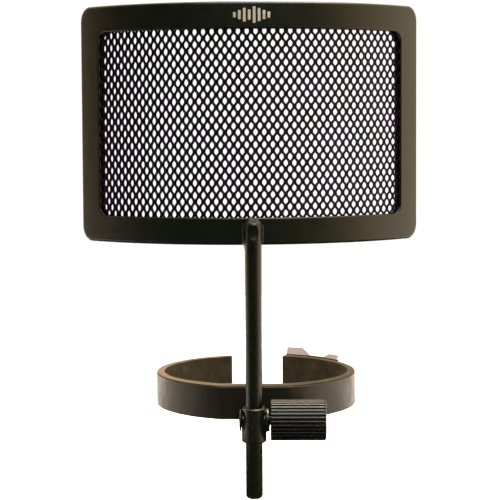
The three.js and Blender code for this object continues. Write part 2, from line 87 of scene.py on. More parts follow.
# Expanded metal: centre of one opening and the steps to its neighbours, along the arc and up
OPENING_CENTRE = np.array((-0.268, 74.406))
OPENING_STEP_ACROSS = np.array((2.3657, 0.0256))
OPENING_STEP_UP = np.array((1.1913, 1.6768))
STRAND_WIDTH = 0.64
STRAND_THICKNESS = 0.41
STRAND_TILT = math.radians(20)
STRAND_SLANT_SWELL = 0.12  # a strand shows more of its side where it slants
STRAND_FULL_SLANT = 0.6  # the slope at which the whole of that swell is reached
STRAND_EDGE = 0.07
STRAND_WIDTH_DRIFT, STRAND_DRIFT_PER_MM, STRAND_DRIFT_PER_COLUMN = 0.03, 1.7, 2.4
RINGS_PER_BOND = 10
BOND_SHARE = 0.16  # of the way between two bonds: at each end, strands run side by side for so long
STRAND_CENTRE_T = -1.25  # from the front face
MESH_OVERLAP = 1.2  # hidden between the two frames

# Rod
ROD_LOW, ROD_HIGH = box_mm("support_rod")
ROD_AXIS_Y = (ROD_LOW[1] + ROD_HIGH[1]) / 2
ROD_RADIUS = (ROD_HIGH[0] - ROD_LOW[0]) / 2
ROD_END_ROUND = 1.75
ROD_TOP_ROUND = 1.0
PRESSED_FLAT = {"z": 46.4, "half_height": 2.1, "depth": 0.42}
SCREEN_LOW, SCREEN_HIGH = box_mm("front_bezel")
SCREEN_BOTTOM_Z = SCREEN_LOW[2]
SCREEN_HEIGHT = SCREEN_HIGH[2] - SCREEN_LOW[2]
SCREEN_FRONT_Y = ROD_AXIS_Y + ROD_RADIUS + 0.15

# Braze between the rod and the screen: a bead at each side, and a lump over the rod's end
BEAD_FACE_GAP = 0.06
BEAD_TOP_ROUND = 0.9
BEAD_THINNEST = 0.03  # share of its full section
BEAD_LEAN, BEAD_THIN_LEAN = math.radians(10), math.radians(28)
BEAD_STAND_OFF = 0.45  # of its hollow side, from the screen
LUMP_FACE_GAP = 0.04
LUMP_HALF_WIDTH = 1.95
LUMP_DEPTH = 2.6
LUMP_OVERLAP = 0.7  # over the rod's end

# Collar
BAND_RADIUS = 28.35
BAND_THICKNESS = 1.0
BAND_EDGE_ROUND = 0.24
BAND_FLAT_Y = box_mm("collar_band")[0][1]
BAND_BEND_RADIUS = 4.0
COLLAR_GAP_HALF_ANGLE = math.radians(16.7)
BAND_HALF_HEIGHT = box_mm("collar_band")[1][2]
LINER_TOP_Z = box_mm("collar_liner")[1][2]
LINER_DEPTH = (1.2, 2.3)  # below the band's outer face
LINER_EDGE_ROUND = 0.34
LINER_LIP_DEPTH = 0.18  # where its lip, lapped over the band's upper edge, ends
LIP_CLEARANCE = 0.03
LIP_EDGE = 0.22  # height of the lip's outer edge
LIP_SHOULDER = 0.35  # share of the liner's thickness that slopes down to the lip
LINER_FRONT_RISE = 0.3  # it stands a little higher in front, where the collar is flat
COLLAR_STEP = 1.2  # between sections along the collar
COLLAR_END_ZONE = 0.6  # where they are closer together

# Clamp
PLUG_RADIUS = 3.0
PLUG_PIN_RADIUS = 1.4
GUIDE_RING_WALL = 0.42
KNOB_LOW, KNOB_HIGH = box_mm("knob")
SCREW_AXIS_Z = (KNOB_LOW[2] + KNOB_HIGH[2]) / 2
KNOB_LENGTH = KNOB_HIGH[0] - KNOB_LOW[0]
KNOB_RADIUS = min(KNOB_HIGH[2] - KNOB_LOW[2], KNOB_HIGH[1] - KNOB_LOW[1]) / 2
KNOB_RIBS = 32
KNOB_GROOVE_DEPTH = 0.5
CREST_SHARE = 0.24  # of the ribs' pitch, from a ridge's centre to its flank
FLANK_SHARE = 0.07
CREST_CROWN = 0.05
KNOB_END_ROUND = 0.9
KNOB_RIB_ANGLE = math.radians(175.4)  # one ridge's centre, from +Y towards +Z
THREAD_PITCH = 0.5
THREAD_DEPTH = 0.3
SCREW_RADIUS = 1.5
SCREW_TIP_RADIUS = 0.95
SCREW_HEAD_INSET = 1.2  # from the knob's inner face

# Rivets of the release tab
RIVET_SEAT_RADIUS = BAND_RADIUS + 1.0
RIVET_SHANK_RADIUS = 0.7
RIVET_HEAD_RADIUS = 1.4
RIVET_HEAD_HEIGHT = 0.7
RIVETS = {"tab_rivet_inner": 30, "tab_rivet_outer": 47}  # degrees from the rear towards the right


# ---- Shapes -------------------------------------------------------------------------------------


def rounded(corners, closed=False, steps=5):
    """A line through (x, y, radius) corners, each rounded off to its radius."""
    line = []
    count = len(corners)
    for i, (x, y, radius) in enumerate(corners):
        here = np.array((x, y), float)
        if radius <= 0 or (not closed and i in (0, count - 1)):
            line.append(here)
            continue
        back = np.array(corners[i - 1][:2], float) - here
        on = np.array(corners[(i + 1) % count][:2], float) - here
        back_length, on_length = np.linalg.norm(back), np.linalg.norm(on)
        back, on = back / back_length, on / on_length
        half = math.acos(float(np.clip(back @ on, -1, 1))) / 2
        reach = min(radius / math.tan(half), 0.499 * back_length, 0.499 * on_length)
        radius = reach * math.tan(half)
        middle = back + on
        centre = here + middle / np.linalg.norm(middle) * radius / math.sin(half)
        start, end = here + back * reach - centre, here + on * reach - centre
        first = math.atan2(start[1], start[0])
        sweep = (math.atan2(end[1], end[0]) - first + math.pi) % (2 * math.pi) - math.pi
        for k in range(steps + 1):
            angle = first + sweep * k / steps
            line.append(centre + radius * np.array((math.cos(angle), math.sin(angle))))
    return np.array(line)


def divided(line, step, closed=False):
    """The line with its long stretches divided."""
    out = []
    count = len(line)
    for i in range(count if closed else count - 1):
        a, b = line[i], line[(i + 1) % count]
        parts = max(1, math.ceil(np.linalg.norm(b - a) / step))
        out.extend(a + (b - a) * k / parts for k in range(parts))
    if not closed:
        out.append(line[-1])
    return np.array(out)


def loft(rings, looped=False, caps=True):
    """Points and faces through closed rings; a looped stack closes on itself, an open one is capped."""
    rings = np.asarray(rings, float)
    count, around = rings.shape[:2]
    index = np.arange(count * around).reshape(count, around)
    here = index if looped else index[:-1]
    following = np.roll(index, -1, 0) if looped else index[1:]
    quads = np.stack([here, np.roll(here, -1, 1), np.roll(following, -1, 1), following], -1)
    faces = quads.reshape(-1, 4).tolist()
    if caps and not looped:
        faces += [index[0][::-1].tolist(), index[-1].tolist()]
    return rings.reshape(-1, 3), faces


def turned(profile, axis="z", segments=96):
    """Rings of a turned shape from (radius, height) points."""
    profile = np.asarray(profile, float)
    angle = np.linspace(0, 2 * math.pi, segments, endpoint=False)
    radius, height = profile[:, :1], profile[:, 1:2]
    across, along = radius * np.cos(angle), radius * np.sin(angle)
    up = height + 0 * angle
    order = (across, along, up) if axis == "z" else (up, across, along)
    return np.stack(order, -1)


def joined(lofts):
    """Points and faces of several lofts in one."""
    points, faces, start = [], [], 0
    for its_points, its_faces in lofts:
        points.append(its_points)
        faces.extend([[start + v for v in face] for face in its_faces])
        start += len(its_points)
    return np.concatenate(points), faces


def mesh_of(name, points, faces, scale=MM):
    """A mesh with its doubled points joined and its faces turned outwards."""
    mesh = bpy.data.meshes.new(name)
    mesh.from_pydata((np.asarray(points) * scale).tolist(), [], faces)
    edit = bmesh.new()
    edit.from_mesh(mesh)
    bmesh.ops.remove_doubles(edit, verts=edit.verts, dist=1e-4 * scale)
    bmesh.ops.recalc_face_normals(edit, faces=edit.faces)
    edit.to_mesh(mesh)
    edit.free()
    return mesh


def place(name, mesh, finish, body, node=None, sharp=40, weighted=True):
    """Puts a mesh in the scene as a piece that rides on a body and may stand for a CAD node."""
    piece = bpy.data.objects.new(name, mesh)
    bpy.context.scene.collection.objects.link(piece)
    mesh.materials.clear()
    mesh.materials.append(finish)
    mesh.shade_smooth()
    mesh.set_sharp_from_angle(angle=math.radians(sharp))
    if weighted:
        normals = piece.modifiers.new("weighted_normals", "WEIGHTED_NORMAL")
        normals.keep_sharp = True
    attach(piece, body)
    if node:
        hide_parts(node)
    return piece


def softened(node, name, voxel, smoothing):
    """The skin of a CAD node, remeshed finely so that its edges and inner corners are softly rounded."""
    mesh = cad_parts[node].data.copy()
    mesh.transform(Matrix.Scale(1 / MM, 4))
    temporary = bpy.data.objects.new("temporary", mesh)
    bpy.context.scene.collection.objects.link(temporary)
    weld = temporary.modifiers.new("weld", "WELD")
    weld.merge_threshold = 1e-4
    skin = temporary.modifiers.new("skin", "REMESH")
    skin.mode = "VOXEL"
    skin.voxel_size = voxel
    soften = temporary.modifiers.new("soften", "SMOOTH")
    soften.factor = 0.5
    soften.iterations = smoothing
    graph = bpy.context.evaluated_depsgraph_get()
    skinned = bpy.data.meshes.new_from_object(temporary.evaluated_get(graph))
    skinned.name = name
    skinned.transform(Matrix.Scale(MM, 4))
    bpy.data.objects.remove(temporary)
    return skinned


def wave(seed, reach, terms=5):
    """A smooth random function of one variable, about -1 to 1, with features some reach long."""
    draw = random.Random(seed)
    parts = [(draw.uniform(0.5, 1.6) / reach, draw.uniform(0, 2 * math.pi)) for _ in range(terms)]
    return lambda x: sum(np.sin(2 * math.pi * f * x + p) for f, p in parts) / math.sqrt(terms)


# ---- Finishes -----------------------------------------------------------------------------------


def fill_ramp(ramp, stops):
    """Gives a colour ramp its (position, colour) stops."""
    while len(ramp.elements) < len(stops):
        ramp.elements.new(0.5)
    for element, (position, colour) in zip(ramp.elements, stops):
        element.position = position
        element.color = (*colour, 1)


class Finish:
    """A procedural material put together on a Principled shader."""

    def __init__(self, name, base, roughness, metallic=0.0, specular=0.5):
        self.material = bpy.data.materials.new(name)
        self.material.use_nodes = True
        self.tree = self.material.node_tree
        self.shader = self.tree.nodes["Principled BSDF"]
        self.shader.inputs["Base Color"].default_value = (*base, 1)
        self.shader.inputs["Roughness"].default_value = roughness
        self.shader.inputs["Metallic"].default_value = metallic
        self.shader.inputs["Specular IOR Level"].default_value = specular
        self.place = self.node("ShaderNodeTexCoord").outputs["Object"]

    def node(self, kind, **values):
        """A new node with its inputs or settings given by name."""
        node = self.tree.nodes.new(kind)
        for key, value in values.items():
            if key in node.inputs:
                node.inputs[key].default_value = value
            else:
                setattr(node, key, value)
        return node

    def link(self, a, b):
        self.tree.links.new(a, b)

    def noise(self, size, detail=3.0, roughness=0.55, stretch=None):
        """Noise whose features are about size millimetres."""
        node = self.node("ShaderNodeTexNoise")
        node.inputs["Scale"].default_value = 1000 / size
        node.inputs["Detail"].default_value = detail
        node.inputs["Roughness"].default_value = roughness
        if stretch:
            squeeze = self.node("ShaderNodeMapping")
            squeeze.inputs["Scale"].default_value = stretch
            self.link(self.place, squeeze.inputs["Vector"])
            self.link(squeeze.outputs["Vector"], node.inputs["Vector"])
        else:
            self.link(self.place, node.inputs["Vector"])
        return node.outputs["Fac"]

    def spread(self, value, low, high, start=0.3, end=0.7):
        """Maps a noise value to a range."""
        node = self.node("ShaderNodeMapRange")
        for key, number in zip(("From Min", "From Max", "To Min", "To Max"), (start, end, low, high)):
            node.inputs[key].default_value = number
        self.link(value, node.inputs["Value"])
        return node.outputs["Result"]

    def colours(self, value, stops):
        """Turns a value into colours between (position, colour) stops."""
        node = self.node("ShaderNodeValToRGB")
        fill_ramp(node.color_ramp, stops)
        self.link(value, node.inputs["Fac"])
        return node.outputs["Color"]

    def mix(self, factor, a, b):
        """Mixes two colours, each a tuple or a socket."""
        node = self.node("ShaderNodeMix", data_type="RGBA")
        self.link(factor, node.inputs["Factor"])
        for value, socket in ((a, node.inputs[6]), (b, node.inputs[7])):
            if isinstance(value, tuple):
                socket.default_value = (*value, 1)
            else:
                self.link(value, socket)
        return node.outputs[2]

    def worn_edges(self, colour, worn, low=0.53, high=0.6):
        """Shows a worn colour on sharp outer edges, broken up by noise."""
        edges = self.spread(self.node("ShaderNodeNewGeometry").outputs["Pointiness"], 0, 1, low, high)
        patches = self.spread(self.noise(0.9, 4), 0, 1, 0.45, 0.7)
        both = self.node("ShaderNodeMath", operation="MULTIPLY")
        self.link(edges, both.inputs[0])
        self.link(patches, both.inputs[1])
        return self.mix(both.outputs[0], colour, worn)

    def painted_top_light(self, colour, lit_top_colour, low, high, from_x, to_x, least_light_share):
        """Paints top light: a lighter colour where the surface faces up, fading from one x to another into
        painted shade.
        """
        facing, where = self.node("ShaderNodeSeparateXYZ"), self.node("ShaderNodeSeparateXYZ")
        self.link(self.node("ShaderNodeNewGeometry").outputs["Normal"], facing.inputs["Vector"])
        self.link(self.place, where.inputs["Vector"])
        up = self.spread(facing.outputs["Z"], 0, 1, low, high)
        # painted shade: the painted top light fades out between from_x and to_x, darker towards +X
        light_falloff_along_x = self.spread(where.outputs["X"], 1, least_light_share, from_x * MM, to_x * MM)
        both = self.node("ShaderNodeMath", operation="MULTIPLY")
        self.link(up, both.inputs[0])
        self.link(light_falloff_along_x, both.inputs[1])
        return self.mix(both.outputs[0], colour, lit_top_colour)

    def colour(self, value):
        self.link(value, self.shader.inputs["Base Color"])

    def rough(self, value):
        self.link(value, self.shader.inputs["Roughness"])

    def bump(self, *layers):
        """Each layer is (height value, depth in millimetres)."""
        normal = None
        for height, depth in layers:
            node = self.node("ShaderNodeBump")
            node.inputs["Strength"].default_value = 1.0
            node.inputs["Distance"].default_value = depth * MM
            self.link(height, node.inputs["Height"])
            if normal:
                self.link(normal, node.inputs["Normal"])
            normal = node.outputs["Normal"]
        self.link(normal, self.shader.inputs["Normal"])


def enamel(name, base, roughness=0.36, specular=0.5, peel=0.006, grain=1.1, wear=(0.05, 0.045, 0.04)):
    """Stoved enamel on steel: fine orange peel, faint unevenness, thin at the edges."""
    finish = Finish(name, base, roughness, specular=specular)
    light = tuple(c * 1.4 + 0.001 for c in base)
    tone = finish.colours(finish.noise(9, 4), [(0.35, base), (0.7, light)])
    finish.colour(finish.worn_edges(tone, wear))
    finish.rough(finish.spread(finish.noise(2.2, 5), roughness - 0.05, roughness + 0.07))
    finish.bump((finish.noise(grain, 2), peel), (finish.noise(14, 2), 0.012))
    return finish.material


def expanded_metal(name):
    """Coated strands, a little purple where the coating is thin."""
    black, violet, blue = (0.0090, 0.0038, 0.0125), (0.013, 0.0055, 0.020), (0.018, 0.0098, 0.033)
    finish = Finish(name, black, 0.6, specular=0.08)
    tone = finish.colours(finish.noise(9, 4), [(0.32, black), (0.52, violet), (0.72, blue)])
    finish.colour(finish.worn_edges(tone, (0.04, 0.03, 0.06), 0.56, 0.66))
    finish.rough(finish.spread(finish.noise(0.8, 4), 0.5, 0.68))
    finish.bump((finish.noise(0.35, 3), 0.012))
    return finish.material


def moulded(name, base, roughness, specular):
    """Satin moulded plastic with a fine spark texture and polished edges."""
    finish = Finish(name, base, roughness, specular=specular)
    light = tuple(c * 1.5 + 0.002 for c in base)
    tone = finish.colours(finish.noise(5, 3), [(0.35, base), (0.75, light)])
    finish.colour(finish.worn_edges(tone, (0.035, 0.036, 0.032)))
    finish.rough(finish.spread(finish.noise(1.6, 4), roughness - 0.06, roughness + 0.08))
    finish.bump((finish.noise(0.2, 2), 0.0005), (finish.noise(0.8, 2), 0.001))
    return finish.material


def synthetic_rubber(name):
    """Matt rubber strip: extruded along its length, with small pits; its up-facing lip carries painted top
    light that fades into painted shade towards +X.
    """
    finish = Finish(name, (0.06, 0.045, 0.03), 0.8, specular=0.12)
    dark, plain, pale = (0.022, 0.019, 0.011), (0.036, 0.030, 0.017), (0.072, 0.057, 0.033)
    # painted top light: the lighter colour painted on up-facing faces, fading to painted shade towards +X
    lit_top_colour = (0.125, 0.096, 0.066)
    tone = finish.colours(finish.noise(4, 5), [(0.3, dark), (0.6, plain), (0.85, pale)])
    finish.colour(finish.painted_top_light(tone, lit_top_colour, 0.1, 0.7, from_x=-10, to_x=14, least_light_share=0.12))
    finish.rough(finish.spread(finish.noise(1.3, 4), 0.7, 0.9))
    lines = finish.noise(3.0, 3, stretch=(0.4, 0.4, 9))
    finish.bump((lines, 0.03), (finish.noise(0.3, 3), 0.02))
    return finish.material


def metal(name, base, roughness, brushed=(1, 1, 1), tint=(0.9, 0.86, 0.8)):
    """Bare or plated metal with a turned or drawn grain."""
    finish = Finish(name, base, roughness, metallic=1.0)
    dull = tuple(c * t for c, t in zip(base, tint))
    finish.colour(finish.colours(finish.noise(2.4, 5), [(0.35, dull), (0.7, base)]))
    grain = finish.noise(0.5, 3, stretch=brushed)
    finish.rough(finish.spread(grain, roughness - 0.07, roughness + 0.12))
    finish.bump((grain, 0.006), (finish.noise(0.9, 4), 0.006))
    return finish.material


def dark_nylon(name):
    """Turned nylon, a little uneven in tone."""
    finish = Finish(name, (0.05, 0.044, 0.034), 0.5, specular=0.45)
    dark, light = (0.034, 0.030, 0.022), (0.062, 0.054, 0.042)
    finish.colour(finish.colours(finish.noise(2, 3), [(0.3, dark), (0.7, light)]))
    finish.rough(finish.spread(finish.noise(0.7, 3), 0.42, 0.6))
    finish.bump((finish.noise(0.3, 3), 0.008))
    return finish.material


def screen_print(name):
    """White ink, slightly thin in places."""
    finish = Finish(name, (0.80, 0.80, 0.78), 0.5, specular=0.4)
    thin, full = (0.45, 0.45, 0.44), (0.82, 0.82, 0.80)
    finish.colour(finish.colours(finish.noise(0.35, 4), [(0.28, thin), (0.45, full)]))
    finish.rough(finish.spread(finish.noise(0.5, 3), 0.42, 0.6))
    finish.bump((finish.noise(0.12, 3), 0.006))
    return finish.material


black_paint = enamel("black_enamel", (0.0034, 0.0072, 0.0032), roughness=0.33, specular=0.44)
rod_paint = enamel("black_enamel_rod", (0.0036, 0.0068, 0.0032), roughness=0.28, specular=0.42)
band_paint = enamel("black_enamel_band", (0.0095, 0.0100, 0.0060), roughness=0.4, specular=0.56, peel=0.005)
braze_paint = enamel("black_enamel_braze", (0.010, 0.011, 0.008), roughness=0.4, peel=0.03, grain=0.7)
clamp_paint = enamel("black_enamel_clamp", (0.0036, 0.0072, 0.0032), roughness=0.29, specular=0.8)
mesh_paint = expanded_metal("black_coated_mesh")
black_plastic = moulded("black_plastic", (0.0028, 0.0052, 0.0026), roughness=0.3, specular=0.6)
rubber = synthetic_rubber("brown_black_rubber")
plated_steel = metal("zinc_plated_steel", (0.46, 0.45, 0.43), 0.34)
tab_steel = metal("blued_steel", (0.175, 0.165, 0.19), 0.4, brushed=(1, 1, 6), tint=(0.92, 0.9, 0.9))
turned_brass = metal("turned_brass", (0.62, 0.44, 0.17), 0.34)
nylon = dark_nylon("dark_nylon")
ink = screen_print("white_print")


# ---- Screen -------------------------------------------------------------------------------------

WINDOW_WIDTH = SCREEN_ARC - 2 * SIDE_BORDER_WIDTH
WINDOW_HEIGHT = SCREEN_HEIGHT - 2 * BORDER_WIDTH
SCREEN_MIDDLE_Z = SCREEN_BOTTOM_Z + SCREEN_HEIGHT / 2


def on_screen(s, t, z):
    """Points from the distance along the screen's arc, the height above its front face, and z."""
    radius = SCREEN_RADIUS + t
    x = radius * np.sin(s / SCREEN_RADIUS)
    y = SCREEN_FRONT_Y + SCREEN_RADIUS - radius * np.cos(s / SCREEN_RADIUS) - ROD_AXIS_Y
    return swivelled(np.stack([x, y, z + 0 * x], -1))


def swivelled(points):
    """Points drawn about the rod's axis, turned with the screen and moved to the rod."""
    c, k = math.cos(SCREEN_SWIVEL), math.sin(SCREEN_SWIVEL)
    x, y = points[..., 0], points[..., 1]
    return np.stack([x * c - y * k, x * k + y * c + ROD_AXIS_Y, points[..., 2]], -1)


def rounded_loop(width, height, radius, across=96, up=40, corner=10):
    """A rounded rectangle as a closed loop, anticlockwise from its right top corner."""
    right, top = width / 2 - radius, height / 2 - radius
    corners = [(right, top), (-right, top), (-right, -top), (right, -top)]
    quarter = math.radians(90)
    loop = []
    for k, (x, y) in enumerate(corners):
        angles = quarter * (k + np.arange(corner + 1) / corner)
        arc = np.column_stack([x + radius * np.cos(angles), y + radius * np.sin(angles)])
        out = np.array((math.cos(quarter * (k + 1)), math.sin(quarter * (k + 1))))
        following = np.array(corners[(k + 1) % 4]) + radius * out
        steps = across if k % 2 == 0 else up
        side = arc[-1] + (following - arc[-1]) * (np.arange(1, steps) / steps)[:, None]
        loop.extend([arc, side])
    return np.concatenate(loop)


def bent_frame(section, dimples=None):
    """A frame from a section drawn as (distance in from the outline, height above the front face)."""
    outer = rounded_loop(SCREEN_ARC, SCREEN_HEIGHT, FRAME_CORNER_RADIUS)
    inner = rounded_loop(WINDOW_WIDTH, WINDOW_HEIGHT, WINDOW_CORNER_RADIUS)
    share = section[:, 0] / BORDER_WIDTH
    flat = outer[:, None, :] + (inner - outer)[:, None, :] * share[None, :, None]
    height = np.broadcast_to(section[:, 1], flat.shape[:2]).copy()
    if dimples is not None:
        height += dimples(flat[..., 0], flat[..., 1], height)
    return loft(on_screen(flat[..., 0], height, SCREEN_MIDDLE_Z + flat[..., 1]), looped=True)


def front_frame():
    """The front frame, folded back round its outline and rounded off round its window."""
    window_edge = SHEET / 2
    corners = [
        (0, -FRAME_DEPTH, CUT_EDGE_ROUND),
        (0, 0, FRONT_EDGE_ROUND),
        (BORDER_WIDTH, 0, window_edge),
        (BORDER_WIDTH, -SHEET, window_edge),
        (SHEET, -SHEET, 0.2),
        (SHEET, -FRAME_DEPTH, CUT_EDGE_ROUND),
    ]
    section = divided(rounded(corners, closed=True, steps=8), 1.2, closed=True)
    mesh = mesh_of("front_bezel_enamel", *bent_frame(section))
    place("front_bezel_enamel", mesh, black_paint, "screen", "front_bezel")


def rear_frame():
    """The clamping frame behind the mesh, spot-welded round its border."""
    window_edge = SHEET / 2
    back, face = -FRAME_DEPTH, SHEET - FRAME_DEPTH
    corners = [
        (REAR_FRAME_MARGIN, back, CUT_EDGE_ROUND),
        (REAR_FRAME_MARGIN, face, CUT_EDGE_ROUND),
        (BORDER_WIDTH, face, window_edge),
        (BORDER_WIDTH, back, window_edge),
    ]
    section = divided(rounded(corners, closed=True, steps=7), 0.35, closed=True)
    mid_x, mid_z = (SCREEN_ARC - BORDER_WIDTH) / 2, (SCREEN_HEIGHT - BORDER_WIDTH) / 2
    last_x, last_z = mid_x - WELD_FROM_CORNER, mid_z - WELD_FROM_CORNER

    def near(value):
        return value + rng.uniform(-WELD_WANDER, WELD_WANDER)

    spots = []
    for x in np.linspace(-last_x, last_x, WELDS_ACROSS):
        spots += [(near(x), mid_z), (near(x), -mid_z)]
    for z in np.linspace(-last_z, last_z, WELDS_UP):
        spots += [(mid_x, near(z)), (-mid_x, near(z))]

    def dimples(s, z, height):
        depth = np.zeros_like(s)
        on_back = height < back + 0.05
        for x0, z0 in spots:
            away = np.hypot(s - x0, z - z0)
            dent = WELD_DEPTH * np.exp(-((away / WELD_RADIUS) ** 4))
            edge = np.exp(-(((away - WELD_EDGE_RADIUS) / WELD_EDGE_WIDTH) ** 2))
            depth += dent - WELD_EDGE_SHARE * WELD_DEPTH * edge
        return np.where(on_back, np.maximum(depth, 0), 0)

    mesh = mesh_of("rear_bezel_enamel", *bent_frame(section, dimples))
    place("rear_bezel_enamel", mesh, black_paint, "screen", "rear_bezel")


def expanded_mesh():
    """Upright wavy strands that meet at the bonds between openings."""
    half_width, half_height = WINDOW_WIDTH / 2 + MESH_OVERLAP, WINDOW_HEIGHT / 2 + MESH_OVERLAP
    w, h = STRAND_WIDTH / 2, STRAND_THICKNESS / 2
    corners = [(x, y, STRAND_EDGE) for x, y in ((-w, -h), (w, -h), (w, h), (-w, h))]
    section = rounded(corners, closed=True, steps=1)
    tilt_s, tilt_t = math.cos(STRAND_TILT), -math.sin(STRAND_TILT)
    section_s = section[:, 0] * tilt_s + section[:, 1] * math.sin(STRAND_TILT)
    section_t = section[:, 0] * tilt_t + section[:, 1] * math.cos(STRAND_TILT)
    columns = int(half_width / OPENING_STEP_UP[0]) + 2
    rows = int(half_height / OPENING_STEP_UP[1]) + 2
    share = np.arange(RINGS_PER_BOND) / RINGS_PER_BOND
    slanting = np.clip((share - BOND_SHARE) / (1 - 2 * BOND_SHARE), 0, 1)
    ease = (1 - np.cos(math.pi * slanting)) / 2
    blend = np.stack([ease, ease, share], -1)
    strands = []
    for column in range(-columns, columns + 1):
        bonds = []
        for row in range(-rows, rows + 1):
            right_of_bond = (column - row) % 2 == 0
            i = (column - row) // 2 if right_of_bond else (column + 1 - row) // 2
            s, z = OPENING_CENTRE + (i + 0.5) * OPENING_STEP_ACROSS + row * OPENING_STEP_UP
            side = 0.5 if right_of_bond else -0.5
            bonds.append((s + side * STRAND_WIDTH * tilt_s, side * STRAND_WIDTH * tilt_t, z))
        bonds = np.array(bonds)
        a, b = bonds[:-1, None, :], bonds[1:, None, :]
        line = (a + (b - a) * blend).reshape(-1, 3)
        line = np.concatenate([line, bonds[-1:]])
        if abs(line[:, 0].mean()) > half_width:
            continue
        line = line[np.abs(line[:, 2] - SCREEN_MIDDLE_Z) < half_height]
        phase = line[:, 2:3] * STRAND_DRIFT_PER_MM + column * STRAND_DRIFT_PER_COLUMN
        swell = 1 + STRAND_WIDTH_DRIFT * np.sin(phase)
        slope = np.gradient(line[:, 0], line[:, 2])[:, None]
        steepness = np.minimum(np.abs(slope) / STRAND_FULL_SLANT, 1)
        slant = np.sqrt(1 + slope**2) * (1 + STRAND_SLANT_SWELL * steepness)
        rings = on_screen(
            line[:, :1] + section_s * swell * slant,
            STRAND_CENTRE_T + line[:, 1:2] + section_t * swell,
            line[:, 2:3],
        )
        strands.append(loft(rings))
    points, faces = joined(strands)
    mesh = bpy.data.meshes.new("mesh_strands")
    mesh.from_pydata((points * MM).tolist(), [], faces)
    place("mesh_strands", mesh, mesh_paint, "screen", "mesh_panel", sharp=25, weighted=False)


def level_bars():
    """A plain row of level bars in white ink, at the middle of the upper border."""
    heights = (1.4, 2.4, 3.6, 2.8, 4.4, 3.4, 2.4, 1.6)
    width, pitch, corner = 0.75, 1.3, 0.2
    sunk, thickness, top_scale = -0.02, 0.03, 0.96
    layers = ((sunk, 1.0), (thickness * 0.6, 1.0), (thickness, top_scale))
    middle_z = SCREEN_BOTTOM_Z + SCREEN_HEIGHT - BORDER_WIDTH / 2
    bars = []
    for k, height in enumerate(heights):
        s0 = (k - (len(heights) - 1) / 2) * pitch
        w, h = width / 2, height / 2
        corners = [(x, y, corner) for x, y in ((-w, -h), (w, -h), (w, h), (-w, h))]
        outline = rounded(corners, closed=True, steps=4)
        rings = [
            on_screen(s0 + outline[:, 0] * scale, np.full(len(outline), t), middle_z + outline[:, 1] * scale)
            for t, scale in layers
        ]
        bars.append(loft(rings))
    mesh = mesh_of("level_bars_print", *joined(bars))
    place("level_bars_print", mesh, ink, "screen")


def rod():
    """The round rod, domed below, with an oval pressed into its front near the top."""
    low, high = ROD_LOW[2], ROD_HIGH[2]
    ring_step = 0.3
    corners = [
        (0, low, 0),
        (ROD_RADIUS, low, ROD_END_ROUND),
        (ROD_RADIUS, high, ROD_TOP_ROUND),
        (0, high, 0),
    ]
    profile = rounded(corners, steps=14)
    fine = []
    for a, b in zip(profile[:-1], profile[1:]):
        parts = max(1, round(abs(b[1] - a[1]) / ring_step))
        fine.extend(a + (b - a) * k / parts for k in range(parts))
    fine.append(profile[-1])
    rings = turned(fine, segments=128)
    rise = (rings[..., 2] - PRESSED_FLAT["z"]) / PRESSED_FLAT["half_height"]
    depth = PRESSED_FLAT["depth"] * (1 - rise**2)
    limit = -(ROD_RADIUS - np.maximum(depth, 0))
    rings[..., 1] = np.where(depth > 0, np.maximum(rings[..., 1], limit), rings[..., 1])
    mesh = mesh_of("rod_enamel", *loft(swivelled(rings), caps=False))
    place("rod_enamel", mesh, rod_paint, "screen", "support_rod", sharp=30)


def braze(side, node, name, reach, seed, foot):
    """A bead of braze between the rod and the frame's face, running out on the rod below the frame."""
    low, high = box_mm(node)
    face_y = SCREEN_FRONT_Y - ROD_AXIS_Y - BEAD_FACE_GAP
    foot_z = SCREEN_BOTTOM_Z + foot
    ripple, drift = wave(seed, 1.1), wave(seed + 1, 2.6)
    rings = []
    for z in np.linspace(low[2], high[2], 72):
        from_top = min((high[2] - z) / BEAD_TOP_ROUND, 1)
        full = math.sqrt(max(0.0, 1 - (1 - from_top) ** 2))
        below = min(max(0.0, foot_z - z) / (foot_z - low[2]), 1)
        full *= 1 - math.sqrt(below * (2 - below))
        full = BEAD_THINNEST + (1 - BEAD_THINNEST) * full
        bulge = 1 + (0.07 * ripple(z) + 0.05 * drift(z)) * (1 - below)
        width = (reach - ROD_RADIUS) * full * bulge
        lean = BEAD_LEAN + BEAD_THIN_LEAN * (1 - full)
        crown = np.array((ROD_RADIUS * math.cos(lean), ROD_RADIUS * math.sin(lean)))
        out = np.array((ROD_RADIUS + width, face_y))
        middle = np.array((ROD_RADIUS + 0.25 * width, face_y - BEAD_STAND_OFF * full * bulge))
        along = np.linspace(0, 1, 10)[:, None]
        hollow = (1 - along) ** 2 * crown + 2 * along * (1 - along) * middle + along * along * out
        root = np.array((ROD_RADIUS * 0.9, face_y))
        inside = [root + (crown * 0.96 - root) * k for k in (0.0, 0.4, 0.8)]
        plan = np.array([*hollow, *inside])
        plan[:, 0] *= side
        rings.append(np.column_stack([plan, np.full(len(plan), z)]))
    mesh = mesh_of(name, *loft(swivelled(np.array(rings))))
    place(name, mesh, braze_paint, "screen", node, sharp=60)


